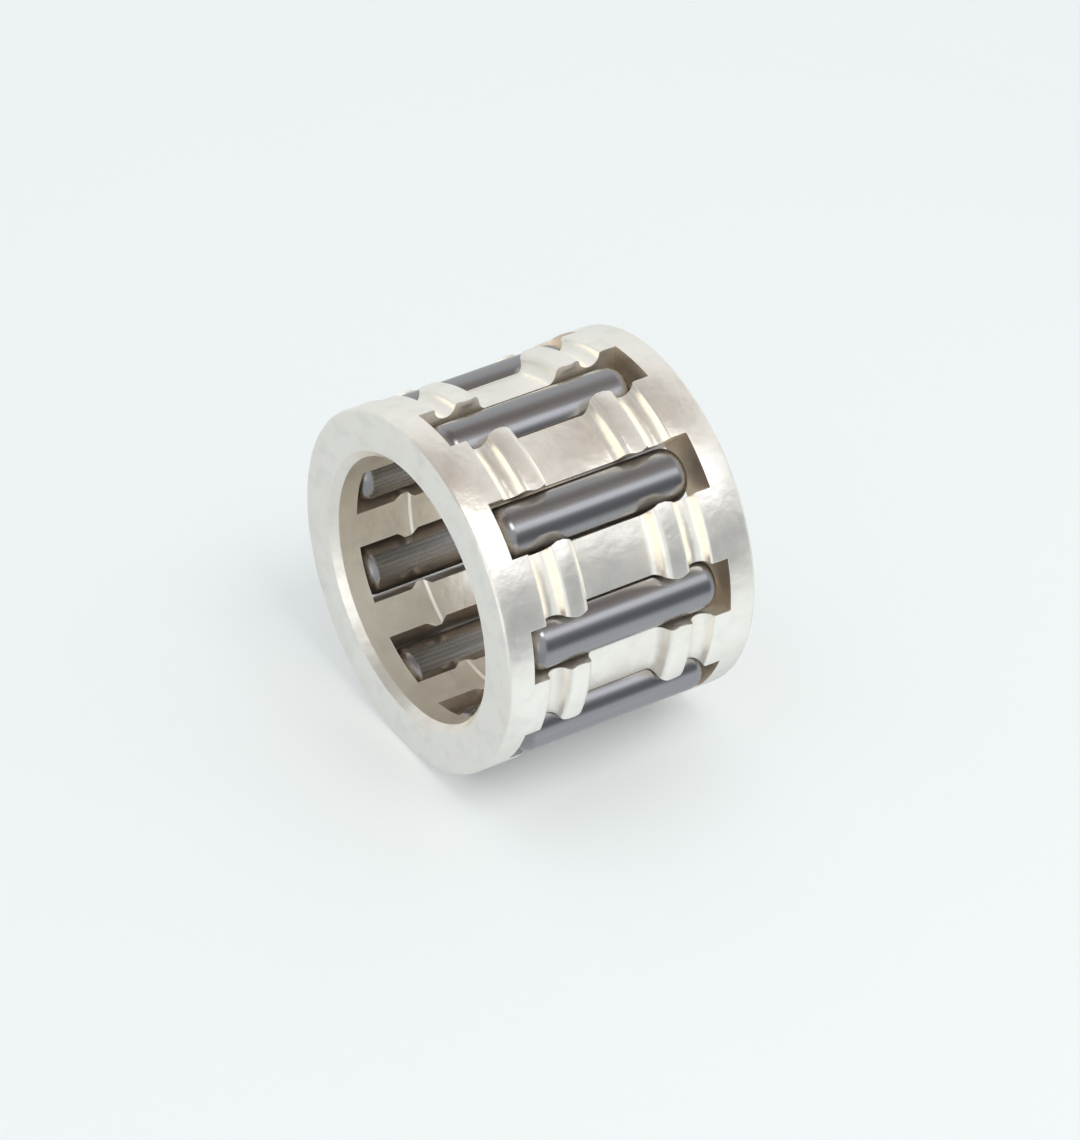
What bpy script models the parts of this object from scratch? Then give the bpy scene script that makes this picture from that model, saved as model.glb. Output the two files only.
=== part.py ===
"""Piston pin needle bearing: a one-piece cage of M-shaped section with loose needle rollers.

The bearing stands on one end face. +Z is its axis and the origin is the middle of the lower end face.
All sizes are in metres.
"""
import math

import bmesh
import bpy
from mathutils import Matrix, Vector

# Needles, and the pin and rod eye that they run between
PIN_DIAMETER = 0.0120
NEEDLE_DIAMETER = 0.0025
NEEDLE_LENGTH = 0.0098
NEEDLE_EDGE_RADIUS = 0.00045
NEEDLE_COUNT = 9
FIRST_NEEDLE_ANGLE = math.radians(-90.0)

# The needles are loose. They hang towards one side, where the bearing lay in the photo on two of them,
# and stand on the lower ends of their pockets.
SETTLE_PITCHES = 5.5
NEEDLE_PLAY = 0.00035
NEEDLE_REST_GAP = 0.00005

# Cage: radial gaps to the pin and to the rod eye, and the ring left beyond each pocket
CAGE_TO_EYE_GAP = 0.00005
END_BORE_TO_PIN_GAP = 0.00020
MIDDLE_BORE_TO_PIN_GAP = 0.00010
END_RING_WIDTH = 0.00130
OUTER_EDGE_CHAMFER = 0.00014
BORE_EDGE_CHAMFER = 0.00030

# Pocket: the gaps around the needle, and the lips on the ribs and in the bore that hold it in
POCKET_SIDE_GAP = 0.00006
POCKET_END_PLAY = 0.00040
OUTER_LIP_WIDTH = 0.00011
INNER_LIP_WIDTH = 0.00036
INNER_LIP_LENGTH = 0.00050
LIP_RAMP_LENGTH = 0.00016
LIP_SETBACK = 0.00008

# Outer section, from each end: land, groove, rib, flank, and the recess between the two flanks.
# Inside, the middle bore reaches a little way under each rib.
LAND_PAST_POCKET = 0.00085
GROOVE_WIDTH = 0.00105
GROOVE_DEPTH = 0.00062
RIB_WIDTH = 0.00116
RIB_DROP = 0.00004
RIB_EDGE = 0.00012
FLANK_LENGTH = 0.00040
RECESS_ABOVE_PITCH = 0.00035
BORE_STEP_LENGTH = 0.00012
MIDDLE_BORE_UNDER_RIB = 0.00028

# Facets
TURNED_SEGMENTS = 10 * NEEDLE_COUNT
NEEDLE_SEGMENTS = 24
GROOVE_STEPS = 4
FLANK_STEPS = 3
EDGE_STEPS = 3
LIP_STEPS = 3
CUTTER_OVERSHOOT = 0.0010

# Sizes that follow from the ones above
needle_radius = NEEDLE_DIAMETER / 2
pitch_radius = (PIN_DIAMETER + NEEDLE_DIAMETER) / 2
eye_radius = PIN_DIAMETER / 2 + NEEDLE_DIAMETER
outer_radius = eye_radius - CAGE_TO_EYE_GAP
end_bore_radius = PIN_DIAMETER / 2 + END_BORE_TO_PIN_GAP
middle_bore_radius = PIN_DIAMETER / 2 + MIDDLE_BORE_TO_PIN_GAP
pocket_start = END_RING_WIDTH
pocket_length = NEEDLE_LENGTH + POCKET_END_PLAY
pocket_half_width = needle_radius + POCKET_SIDE_GAP
cage_length = pocket_length + 2 * END_RING_WIDTH
land_end = pocket_start + LAND_PAST_POCKET
rib_start = land_end + GROOVE_WIDTH
rib_end = rib_start + RIB_WIDTH
middle_bore_start = rib_end - MIDDLE_BORE_UNDER_RIB
rib_radius = outer_radius - RIB_DROP
recess_radius = pitch_radius + RECESS_ABOVE_PITCH

SILVER_PLATE = ((0.78, 0.77, 0.73), 0.34, 1.0)
POLISHED_STEEL = ((0.27, 0.27, 0.29), 0.20, 1.0)


def make_material(name, finish):
    """One Principled material from a (colour, roughness, metallic) finish."""
    colour, roughness, metallic = finish
    material = bpy.data.materials.new(name)
    material.use_nodes = True
    shader = material.node_tree.nodes["Principled BSDF"]
    shader.inputs["Base Color"].default_value = (*colour, 1.0)
    shader.inputs["Roughness"].default_value = roughness
    shader.inputs["Metallic"].default_value = metallic
    return material


def mesh_object(name, bm, material=None):
    """Turns a finished bmesh into an object of that name."""
    bmesh.ops.recalc_face_normals(bm, faces=bm.faces)
    mesh = bpy.data.meshes.new(name)
    bm.to_mesh(mesh)
    bm.free()
    obj = bpy.data.objects.new(name, mesh)
    bpy.context.collection.objects.link(obj)
    if material:
        mesh.materials.append(material)
    return obj


def shade_round(obj, angle):
    """Smooth shading with edges sharper than the angle kept crisp."""
    obj.data.shade_smooth()
    obj.data.set_sharp_from_angle(angle=angle)


def turned(name, profile, segments, start_angle, material):
    """A body of revolution about Z from a closed outline of (radius, height) points."""
    bm = bmesh.new()
    points = [bm.verts.new((radius, 0.0, height)) for radius, height in profile]
    edges = [bm.edges.new((points[i], points[(i + 1) % len(points)])) for i in range(len(points))]
    bmesh.ops.spin(bm, geom=points + edges, cent=(0, 0, 0), axis=(0, 0, 1), angle=math.tau,
                   steps=segments, use_merge=True)
    bmesh.ops.rotate(bm, verts=bm.verts, cent=(0, 0, 0), matrix=Matrix.Rotation(start_angle, 3, "Z"))
    return mesh_object(name, bm, material)


def groove_arc():
    """The round groove beside the end land, as (radius, height) points between its two rims."""
    arc_radius = (GROOVE_WIDTH ** 2 / 4 + GROOVE_DEPTH ** 2) / (2 * GROOVE_DEPTH)
    centre_radius = outer_radius - GROOVE_DEPTH + arc_radius
    half_angle = math.atan2(GROOVE_WIDTH / 2, centre_radius - outer_radius)
    middle = land_end + GROOVE_WIDTH / 2
    points = []
    for i in range(GROOVE_STEPS + 1):
        angle = -half_angle + 2 * half_angle * i / GROOVE_STEPS
        points.append((centre_radius - arc_radius * math.cos(angle), middle + arc_radius * math.sin(angle)))
    return points


def flank_curve():
    """The hollow flank from the rib down to the recess floor: a quarter of an ellipse."""
    rim = rib_radius - RIB_EDGE
    points = []
    for i in range(FLANK_STEPS + 1):
        angle = math.pi / 2 * i / FLANK_STEPS
        radius = rim - (rim - recess_radius) * math.sin(angle)
        points.append((radius, rib_end + FLANK_LENGTH * (1 - math.cos(angle))))
    return points


def cage_profile():
    """The M-shaped section: half of it is laid out from the lower end, then mirrored."""
    groove = groove_arc()
    groove[-1] = (rib_radius - RIB_EDGE, rib_start)
    outer = [
        (outer_radius - OUTER_EDGE_CHAMFER, 0.0),
        (outer_radius, OUTER_EDGE_CHAMFER),
        *groove,
        (rib_radius, rib_start + RIB_EDGE),
        (rib_radius, rib_end - RIB_EDGE),
        *flank_curve(),
    ]
    inner = [
        (middle_bore_radius, middle_bore_start),
        (end_bore_radius, middle_bore_start - BORE_STEP_LENGTH),
        (end_bore_radius, BORE_EDGE_CHAMFER),
        (end_bore_radius + BORE_EDGE_CHAMFER, 0.0),
    ]
    mirrored_outer = [(radius, cage_length - height) for radius, height in reversed(outer)]
    mirrored_inner = [(radius, cage_length - height) for radius, height in reversed(inner)]
    return outer + mirrored_outer + mirrored_inner + inner


def lip_curve(lip_width, lipped):
    """The wall from the end of the needle's play to a lip, as (across, radial) points from there.

    A lip closes in on the needle's own circle at the side gap; without a lip the wall stays straight.
    """
    corner = math.acos(1 - lip_width / pocket_half_width)
    points = []
    for i in range(LIP_STEPS + 1):
        angle = corner * i / LIP_STEPS
        across = pocket_half_width * (math.cos(angle) if lipped else 1.0)
        points.append((across, pocket_half_width * math.sin(angle)))
    return points


def pocket_side(outer_lip, inner_lip):
    """One wall of a pocket as (across, radial) points, measured from the pitch circle."""
    outward = outer_radius - pitch_radius + CUTTER_OVERSHOOT
    inward = pitch_radius - middle_bore_radius + CUTTER_OVERSHOOT
    upper = [(across, NEEDLE_PLAY + rise) for across, rise in lip_curve(OUTER_LIP_WIDTH, outer_lip)]
    lower = [(across, -NEEDLE_PLAY - rise) for across, rise in lip_curve(INNER_LIP_WIDTH, inner_lip)]
    foot = (lower[-1][0], -inward)
    head = (upper[-1][0], outward)
    return [foot, *reversed(lower), *upper, head]


def pocket_sections():
    """Cutter sections from one pocket end to the other, as (height, outer lip, inner lip)."""
    outer_start = rib_start + LIP_SETBACK
    outer_end = rib_end - LIP_SETBACK
    inner_end = middle_bore_start - LIP_SETBACK
    lower = [
        (pocket_start, False, False),
        (outer_start - LIP_RAMP_LENGTH, False, False),
        (outer_start, True, False),
        (inner_end - INNER_LIP_LENGTH, True, True),
        (inner_end, True, True),
        (inner_end + LIP_RAMP_LENGTH, True, False),
        (outer_end, True, False),
        (outer_end + LIP_RAMP_LENGTH, False, False),
    ]
    upper = [(cage_length - height, outer_lip, inner_lip) for height, outer_lip, inner_lip in lower]
    return lower + upper[::-1]


def make_pocket_cutters():
    """One object with a closed cutter for each pocket, hidden from the finished part."""
    bm = bmesh.new()
    for i in range(NEEDLE_COUNT):
        turn = Matrix.Rotation(needle_angle(i), 3, "Z")
        rings = []
        for height, outer_lip, inner_lip in pocket_sections():
            side = pocket_side(outer_lip, inner_lip)
            outline = side + [(-across, radial) for across, radial in reversed(side)]
            places = [Vector((pitch_radius + radial, across, height)) for across, radial in outline]
            rings.append([bm.verts.new(turn @ place) for place in places])
        bm.faces.new(rings[0])
        bm.faces.new(rings[-1])
        for low, high in zip(rings, rings[1:]):
            for a in range(len(low)):
                b = (a + 1) % len(low)
                bm.faces.new((low[a], low[b], high[b], high[a]))
    cutters = mesh_object("pocket_cutters", bm)
    cutters.hide_render = True
    cutters.display_type = "WIRE"
    return cutters


def needle_angle(index):
    """Angle of one needle about the bearing's axis."""
    return FIRST_NEEDLE_ANGLE + math.tau * index / NEEDLE_COUNT


def make_cage(material):
    """Turns the cage to its M-shaped section and cuts every pocket through it."""
    first_segment = needle_angle(0) + math.pi / TURNED_SEGMENTS
    cage = turned("cage", cage_profile(), TURNED_SEGMENTS, first_segment, material)
    pockets = cage.modifiers.new("pockets", "BOOLEAN")
    pockets.operation = "DIFFERENCE"
    pockets.solver = "EXACT"
    pockets.object = make_pocket_cutters()
    shade_round(cage, math.radians(30))


def needle_profile():
    """Half section of a needle: flat ends and rounded edges, centred on its own origin."""
    half = NEEDLE_LENGTH / 2
    upper = []
    for i in range(EDGE_STEPS + 1):
        angle = math.pi / 2 * i / EDGE_STEPS
        radius = needle_radius - NEEDLE_EDGE_RADIUS * (1 - math.cos(angle))
        upper.append((radius, half - NEEDLE_EDGE_RADIUS * (1 - math.sin(angle))))
    lower = [(radius, -height) for radius, height in reversed(upper)]
    return lower + upper


def make_needle_mesh(material):
    """The mesh that every needle shares."""
    bm = bmesh.new()
    points = [bm.verts.new((radius, 0.0, height)) for radius, height in needle_profile()]
    edges = [bm.edges.new(pair) for pair in zip(points, points[1:])]
    bmesh.ops.spin(bm, geom=points + edges, cent=(0, 0, 0), axis=(0, 0, 1), angle=math.tau,
                   steps=NEEDLE_SEGMENTS, use_merge=True)
    bmesh.ops.holes_fill(bm, edges=[edge for edge in bm.edges if edge.is_boundary], sides=0)
    bmesh.ops.recalc_face_normals(bm, faces=bm.faces)
    mesh = bpy.data.meshes.new("needle")
    bm.to_mesh(mesh)
    bm.free()
    mesh.materials.append(material)
    mesh.shade_smooth()
    mesh.set_sharp_from_angle(angle=math.radians(40))
    return mesh


def make_needles(material):
    """Every needle where it hangs in its pocket, with its origin on the axis that it turns about."""
    mesh = make_needle_mesh(material)
    height = pocket_start + NEEDLE_REST_GAP + NEEDLE_LENGTH / 2
    for i in range(NEEDLE_COUNT):
        angle = needle_angle(i)
        radius = pitch_radius + NEEDLE_PLAY * math.cos(needle_angle(SETTLE_PITCHES) - angle)
        needle = bpy.data.objects.new(f"needle_{i + 1:02d}", mesh)
        needle.location = (radius * math.cos(angle), radius * math.sin(angle), height)
        needle.rotation_euler = (0.0, 0.0, angle)
        bpy.context.collection.objects.link(needle)


for old in list(bpy.data.objects):
    bpy.data.objects.remove(old, do_unlink=True)

make_cage(make_material("silver_plate", SILVER_PLATE))
make_needles(make_material("polished_steel", POLISHED_STEEL))
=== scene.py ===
import math

import bpy
from bpy.props import FloatProperty, FloatVectorProperty, IntProperty, PointerProperty
from mathutils import Matrix, Vector


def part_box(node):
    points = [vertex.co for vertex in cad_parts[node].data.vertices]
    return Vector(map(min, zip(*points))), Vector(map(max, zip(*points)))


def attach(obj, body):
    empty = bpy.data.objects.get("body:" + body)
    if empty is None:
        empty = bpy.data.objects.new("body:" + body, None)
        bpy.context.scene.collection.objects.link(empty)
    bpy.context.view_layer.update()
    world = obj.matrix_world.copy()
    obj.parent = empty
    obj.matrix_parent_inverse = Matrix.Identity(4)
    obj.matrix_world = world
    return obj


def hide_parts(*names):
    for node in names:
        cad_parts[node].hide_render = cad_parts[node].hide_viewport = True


bl_info = {
    "name": "Piston Pin Needle Bearing",
    "version": (1, 0, 0),
    "blender": (4, 5, 0),
    "location": "View3D > Sidebar > Needle Bearing",
    "description": "Models and finishes the cage and needle rollers of a piston pin bearing",
    "category": "Add Mesh",
}

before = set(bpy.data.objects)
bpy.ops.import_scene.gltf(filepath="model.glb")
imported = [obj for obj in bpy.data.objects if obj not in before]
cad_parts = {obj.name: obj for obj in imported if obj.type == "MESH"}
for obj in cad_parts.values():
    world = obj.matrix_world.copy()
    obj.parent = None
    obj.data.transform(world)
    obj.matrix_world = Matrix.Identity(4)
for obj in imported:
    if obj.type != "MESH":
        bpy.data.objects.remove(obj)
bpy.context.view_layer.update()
CAGE_LOW, CAGE_HIGH = (Vector(corner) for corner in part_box("cage"))
NEEDLE_LOW, NEEDLE_HIGH = (Vector(corner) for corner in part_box("needle_01"))
MM = 0.001

# How close points are when they count as one, and how close to a corner a point counts as that corner.
TOUCHING = 0.001 * MM
AT_CORNER = 0.02 * MM

# Steps of the groove's arc and of the flank's quarter ellipse in the cage's outline.
GROOVE_STEPS = 12
FLANK_STEPS = 10

# Roundings of the other corners, as shares of the rib's rounding and of the bore's step.
LAND_ROUND_SHARE = 0.6
RECESS_ROUND_SHARE = 1.5
STEP_ROUND_SHARE = 0.25

# The part of a rib's end that is shaped: its turn past the tip, its depth, and the room beside the rib.
TIP_ANGLE = math.radians(4)
TIP_DEPTH = 0.32 * MM
TIP_MARGIN = 0.12 * MM

# How far a rib's fall reaches, as a share of how far its narrowing does.
FALL_REACH_SHARE = 1.3

# Slices of a pocket cutter across a rib and through a lip, and how far the cutter stands out of the cage.
SLICES_ACROSS_RIB = 20
SLICES_THROUGH_LIP = 7
CUTTER_OVERSHOOT = 1.0 * MM

# Where the lips swell: shoulder as a share of the rib, ramps as shares of the lip's own, gap to the step.
LIP_SHOULDER_SHARE = 0.38
OUTER_RAMP_SHARE = 1.4
INNER_RAMP_SHARE = 0.6
INNER_LIP_GAP = 0.05 * MM

# Faces around a needle and across its rounded edge, and the insets that dome its ends.
NEEDLE_SIDES = 96
NEEDLE_EDGE_SEGMENTS = 9
END_INSETS = ((0.45, 0.58), (0.25, 0.28), (0.18, 0.14))

# The turn from one needle to the next, so that their streaks differ.
NEEDLE_TURN = 0.7

# Edges sharper than these stay sharp.
CAGE_SMOOTH_ANGLE = math.radians(32)
NEEDLE_SMOOTH_ANGLE = math.radians(30)


def length(name, description, default):
    """A size in metres that the sidebar shows as a length."""
    return FloatProperty(name=name, description=description, default=default, subtype="DISTANCE",
                         unit="LENGTH", precision=5)


def colour(name, description, default):
    """A linear colour that the sidebar shows with a picker."""
    return FloatVectorProperty(name=name, description=description, default=default, subtype="COLOR",
                               size=3, min=0.0, max=1.0)


def share(name, description, default):
    """A number from 0 to 1."""
    return FloatProperty(name=name, description=description, default=default, subtype="FACTOR",
                         min=0.0, max=1.0)


class CageSettings(bpy.types.PropertyGroup):
    """Sizes and finish of the silver-plated cage."""
    outer_radius: length("Outer radius", "Radius over the end lands", 8.45 * MM)
    end_bore_radius: length("End bore radius", "Bore under the end rings", 6.20 * MM)
    middle_bore_radius: length("Middle bore radius", "Bore under the recess", 6.10 * MM)
    length: length("Length", "From end face to end face", CAGE_HIGH.z - CAGE_LOW.z)
    ring_width: length("Ring width", "Solid ring beyond each end of a pocket", 1.30 * MM)
    outer_chamfer: length("Outer chamfer", "Broken edge of the end faces, outside", 0.14 * MM)
    bore_chamfer: length("Bore chamfer", "Broken edge of the end faces, in the bore", 0.34 * MM)
    land_width: length("Land width", "From the end face to the groove", 2.15 * MM)
    groove_width: length("Groove width", "Across the round groove", 1.05 * MM)
    groove_depth: length("Groove depth", "From the land to the bottom of the groove", 0.62 * MM)
    rib_width: length("Rib width", "Across the rib beside the groove", 1.16 * MM)
    rib_drop: length("Rib drop", "How far the rib stands below the land", 0.04 * MM)
    rib_round: length("Rib rounding", "Radius of the rib's edge at the groove", 0.20 * MM)
    rib_end_reach: length("Rib end reach", "How far from a pocket the rib starts to narrow", 0.70 * MM)
    rib_end_share: share("Rib end share", "Width of a rib's end as a share of its middle", 0.50)
    rib_end_drop: length("Rib end drop", "How far a rib's end falls towards the needle", 0.20 * MM)
    flank_length: length("Flank length", "Hollow flank from the rib to the recess", 0.40 * MM)
    recess_radius: length("Recess radius", "Floor of the middle recess", 7.60 * MM)
    bore_step: length("Bore step", "Slope between the two bores", 0.12 * MM)
    bore_under_rib: length("Bore under rib", "How far the middle bore reaches under a rib", 0.28 * MM)
    edge_round: length("Edge rounding", "Softening of the pockets' edges in the finish", 0.045 * MM)
    bar_steps: IntProperty(name="Bar steps", description="Faces from one pocket to the next", default=60)
    silver: colour("Silver", "Colour of the plating", (0.92, 0.895, 0.84))
    tarnish: colour("Tarnish", "Colour of the faint warm haze", (0.74, 0.69, 0.61))
    stain: colour("Stain", "Colour of the grey blotches", (0.64, 0.64, 0.625))
    # The pocket wall colour is painted shade: a darker, browner tone where the walls lie deep in the
    # pockets; its share says how strongly that painted shade shows.
    wall: colour("Pocket wall", "Colour of the browner plating inside the pockets", (0.64, 0.55, 0.46))
    haze: share("Haze", "How strongly the warm haze shows", 0.16)
    spots: share("Spots", "How strongly the grey blotches show", 0.22)
    pocket_shade_share: share("Wall tint", "How strongly the pocket walls' colour shows", 0.9)
    metallic: share("Metallic", "How metallic the plating is", 0.88)
    roughness: share("Roughness", "Satin sheen of the plating", 0.365)
    unevenness: share("Unevenness", "Strength of the plating's faint waves", 0.8)


class PocketSettings(bpy.types.PropertyGroup):
    """Sizes of the pockets and of the lips that hold the needles."""
    count: IntProperty(name="Pockets", description="Pockets around the cage", default=9)
    first_angle: FloatProperty(name="First pocket", description="Angle of the first pocket",
                               default=math.radians(-90), subtype="ANGLE", unit="ROTATION")
    pitch_radius: length("Pitch radius", "Radius of the circle of pockets", 7.25 * MM)
    half_width: length("Half width", "From a pocket's middle to its side", 1.31 * MM)
    play: length("Play", "Straight side wall each way from the pitch circle", 0.35 * MM)
    outer_lip: length("Outer lip", "How far the ribs close in outside", 0.11 * MM)
    inner_lip: length("Inner lip", "How far the wall closes in at the bore", 0.36 * MM)
    inner_lip_length: length("Inner lip length", "Along the pocket", 0.50 * MM)
    lip_ramp: length("Lip ramp", "Length over which a lip swells", 0.26 * MM)


class NeedleSettings(bpy.types.PropertyGroup):
    """Size and finish of the needle rollers."""
    radius: length("Radius", "Radius of a needle", 1.25 * MM)
    length: length("Length", "Length of a needle", NEEDLE_HIGH.z - NEEDLE_LOW.z)
    edge_radius: length("Edge radius", "Rounding of a needle's ends", 0.50 * MM)
    crown: length("Crown", "How far a needle's end stands out in the middle", 0.25 * MM)
    steel: colour("Steel", "Colour of the ground steel", (0.30, 0.30, 0.315))
    smoke: colour("Smoke", "Colour of the darker streaks", (0.23, 0.22, 0.215))
    streaks: share("Streaks", "How strongly the darker streaks show", 0.2)
    roughness: share("Roughness", "Sheen of the ground steel", 0.26)


class StageSettings(bpy.types.PropertyGroup):
    """Camera, floor and table."""
    azimuth: FloatProperty(name="Azimuth", description="Camera's turn about the bearing's axis",
                           default=math.radians(86.93), subtype="ANGLE", unit="ROTATION")
    elevation: FloatProperty(name="Elevation", description="Camera's height angle",
                             default=math.radians(-26.44), subtype="ANGLE", unit="ROTATION")
    roll: FloatProperty(name="Roll", description="Camera's turn about its own line of sight",
                        default=math.radians(69.67), subtype="ANGLE", unit="ROTATION")
    distance: length("Distance", "From the camera to the bearing's middle", 251.45 * MM)
    lens: FloatProperty(name="Lens", description="Focal length of the camera in millimetres",
                        default=179.0, subtype="DISTANCE_CAMERA")
    aim_across: length("Aim across", "Sideways from the axis to the aim of the camera", 1.1 * MM)
    aim_height: length("Aim height", "Height of the aim of the camera", 6.6 * MM)
    rest_angle: FloatProperty(name="Rest angle", description="Side of the cage that lay on the table",
                              default=math.radians(130), subtype="ANGLE", unit="ROTATION")
    floor: colour("Floor", "Colour of floor and table", (0.83, 0.875, 0.89))
    table_evenness: share("Table evenness", "Share of the table's brightness that shadows leave alone", 0.15)
    floor_evenness: share("Floor evenness", "Share of the floor's brightness that shadows leave alone", 0.30)
    backdrop: colour("Backdrop", "Colour behind everything", (0.845, 0.885, 0.90))


def deselect_all():
    """Leaves edit mode and selects nothing."""
    if bpy.context.object and bpy.context.object.mode != "OBJECT":
        bpy.ops.object.mode_set(mode="OBJECT")
    bpy.ops.object.select_all(action="DESELECT")


def select_only(*objects):
    """Selects these objects and makes the first one active."""
    deselect_all()
    for obj in objects:
        obj.select_set(True)
    bpy.context.view_layer.objects.active = objects[0]


def select_vertices(obj, test):
    """In edit mode, selects exactly the vertices whose place passes the test."""
    bpy.ops.mesh.select_all(action="DESELECT")
    bpy.ops.object.mode_set(mode="OBJECT")
    for vertex in obj.data.vertices:
        vertex.select = test(vertex.co)
    bpy.ops.object.mode_set(mode="EDIT")


def apply_modifiers(obj):
    """Applies all modifiers of an object in order."""
    select_only(obj)
    for name in [modifier.name for modifier in obj.modifiers]:
        bpy.ops.object.modifier_apply(modifier=name)


def finish_piece(obj, name, material, body, node):
    """Names a piece, gives it its material and ties it to the CAD model."""
    obj.name = name
    obj.data.name = name
    obj.data.materials.clear()
    obj.data.materials.append(material)
    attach(obj, body)
    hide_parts(node)


def wire_loop(points):
    """A closed wire outline in the XZ plane, drawn point by point from one vertex."""
    deselect_all()
    bpy.ops.mesh.primitive_plane_add(size=MM, location=(0, 0, 0))
    obj = bpy.context.object
    bpy.ops.object.mode_set(mode="EDIT")
    bpy.ops.mesh.select_mode(type="VERT")
    bpy.ops.mesh.merge(type="CENTER")
    bpy.ops.transform.translate(value=points[0])
    for here, there in zip(points, points[1:] + points[:1]):
        bpy.ops.mesh.extrude_region_move(TRANSFORM_OT_translate={"value": there - here})
    bpy.ops.mesh.select_all(action="SELECT")
    bpy.ops.mesh.remove_doubles(threshold=TOUCHING)
    return obj


def groove_points(cage):
    """The round groove from the land to the rib, with room left for the rib's rounding."""
    half_width = cage.groove_width / 2
    depth = cage.groove_depth
    arc = (half_width ** 2 + depth ** 2) / (2 * depth)
    centre = cage.outer_radius - depth + arc
    limit = math.atan2(half_width, centre - cage.outer_radius)
    middle = cage.land_width + half_width
    angles = [limit * (2 * i / GROOVE_STEPS - 1) for i in range(GROOVE_STEPS + 1) if i != GROOVE_STEPS - 1]
    return [Vector((centre - arc * math.cos(a), 0, middle + arc * math.sin(a))) for a in angles]


def flank_points(cage, rib_radius, rib_end):
    """The hollow flank from the rib down to the recess floor, with room left for the rib's rounding."""
    depth = rib_radius - cage.recess_radius
    angles = [math.pi / 2 * i / FLANK_STEPS for i in range(FLANK_STEPS + 1) if i not in (1, 2)]
    return [Vector((rib_radius - depth * math.sin(a), 0, rib_end + cage.flank_length * (1 - math.cos(a))))
            for a in angles]


def cage_outline(cage):
    """The cage's M-shaped section, with the corners still sharp."""
    rib_radius = cage.outer_radius - cage.rib_drop
    rib_start = cage.land_width + cage.groove_width
    rib_end = rib_start + cage.rib_width
    groove = groove_points(cage)
    groove[-1].x = rib_radius
    outer = [Vector((cage.outer_radius, 0, 0)), *groove, *flank_points(cage, rib_radius, rib_end)]
    middle_bore = rib_end - cage.bore_under_rib
    inner = [
        Vector((cage.middle_bore_radius, 0, middle_bore)),
        Vector((cage.end_bore_radius, 0, middle_bore - cage.bore_step)),
        Vector((cage.end_bore_radius, 0, 0)),
    ]
    far_outer = [Vector((p.x, 0, cage.length - p.z)) for p in reversed(outer)]
    far_inner = [Vector((p.x, 0, cage.length - p.z)) for p in reversed(inner)]
    return outer + far_outer + far_inner + inner


def round_corners(obj, places, radius, segments):
    """Bevels the outline's vertices at these places."""
    select_vertices(obj, lambda co: any((co - place).length < AT_CORNER for place in places))
    bpy.ops.mesh.bevel(offset=radius, segments=segments, profile=0.5, affect="VERTICES",
                       clamp_overlap=False)


def round_outline(obj, cage):
    """Rounds each kind of corner of the cage's outline at both ends."""
    rib_radius = cage.outer_radius - cage.rib_drop
    rib_start = cage.land_width + cage.groove_width
    rib_end = rib_start + cage.rib_width
    middle_bore = rib_end - cage.bore_under_rib
    corners = [
        ((cage.outer_radius, 0.0), cage.outer_chamfer, 3),
        ((cage.end_bore_radius, 0.0), cage.bore_chamfer, 1),
        ((cage.outer_radius, cage.land_width), LAND_ROUND_SHARE * cage.rib_round, 3),
        ((rib_radius, rib_start), cage.rib_round, 4),
        ((rib_radius, rib_end), RECESS_ROUND_SHARE * cage.rib_round, 5),
        ((cage.middle_bore_radius, middle_bore), STEP_ROUND_SHARE * cage.bore_step, 2),
        ((cage.end_bore_radius, middle_bore - cage.bore_step), STEP_ROUND_SHARE * cage.bore_step, 2),
    ]
    for (radius, height), rounding, segments in corners:
        places = [Vector((radius, 0, height)), Vector((radius, 0, cage.length - height))]
        round_corners(obj, places, rounding, segments)


def turn_bar(cage, pocket):
    """Spins the rounded outline from the middle of one pocket place to the middle of the next."""
    bar = wire_loop(cage_outline(cage))
    round_outline(bar, cage)
    bpy.ops.mesh.select_all(action="SELECT")
    bpy.ops.mesh.spin(steps=cage.bar_steps, angle=math.tau / pocket.count, center=(0, 0, 0), axis=(0, 0, 1))
    bpy.ops.mesh.select_all(action="SELECT")
    bpy.ops.mesh.normals_make_consistent(inside=False)
    return bar


def shape_rib_ends(bar, cage, pocket):
    """Narrows each rib towards the pockets and lets its ends fall over the needles, as a rounded tongue."""
    rib_start = cage.land_width + cage.groove_width
    middles = (rib_start + cage.rib_width / 2, cage.length - rib_start - cage.rib_width / 2)
    tip = math.asin((pocket.half_width - pocket.outer_lip) / cage.outer_radius)
    past = tip - TIP_ANGLE
    foot = cage.outer_radius - TIP_DEPTH
    pitch = math.tau / pocket.count
    for low, high in ((past, tip), (pitch - tip, pitch - past)):
        for middle in middles:
            select_vertices(bar, lambda co: (
                low < math.atan2(co.y, co.x) < high and math.hypot(co.x, co.y) > foot
                and abs(co.z - middle) < cage.rib_width / 2 + TIP_MARGIN))
            bpy.ops.transform.resize(
                value=(1, 1, cage.rib_end_share), center_override=(0, 0, middle), use_proportional_edit=True,
                proportional_edit_falloff="SHARP", proportional_size=cage.rib_end_reach)
            angle = (low + high) / 2
            inward = Vector((-math.cos(angle), -math.sin(angle), 0)) * cage.rib_end_drop
            bpy.ops.transform.translate(
                value=inward, use_proportional_edit=True, proportional_edit_falloff="SHARP",
                proportional_size=FALL_REACH_SHARE * cage.rib_end_reach)


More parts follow.
